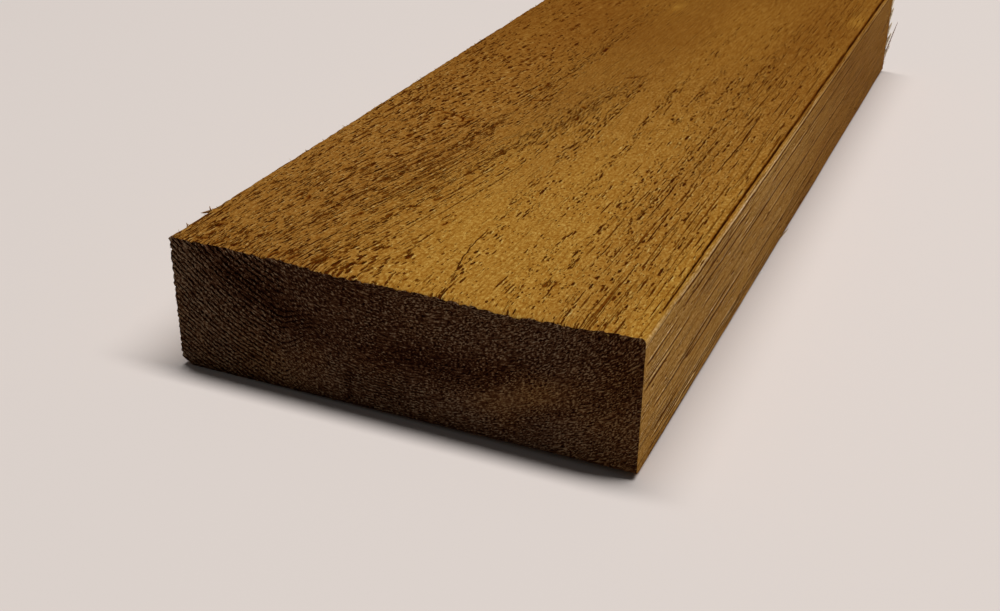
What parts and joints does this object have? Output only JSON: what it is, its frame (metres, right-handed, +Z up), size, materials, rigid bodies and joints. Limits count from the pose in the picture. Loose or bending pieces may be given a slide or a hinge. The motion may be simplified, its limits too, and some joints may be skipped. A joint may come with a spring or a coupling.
{
  "type": "rectangular cladding board",
  "caption": "Short length of rough-sawn softwood cladding board with a plain rectangular section, for fixing flat to battens or framing.",
  "frame": {"origin": "centre of the back face, which lies on the ground", "axes": "+X across the width to the edge with the drying check, +Y along the grain from the near end to the far end, +Z up through the thickness to the sawn weather face"},
  "size_m": [0.075, 0.2, 0.022],
  "materials": {
    "treated_softwood": "rough sawn"
  },
  "bodies": {
    "root": {"cladding_board": "treated_softwood"}
  },
  "joints": []
}
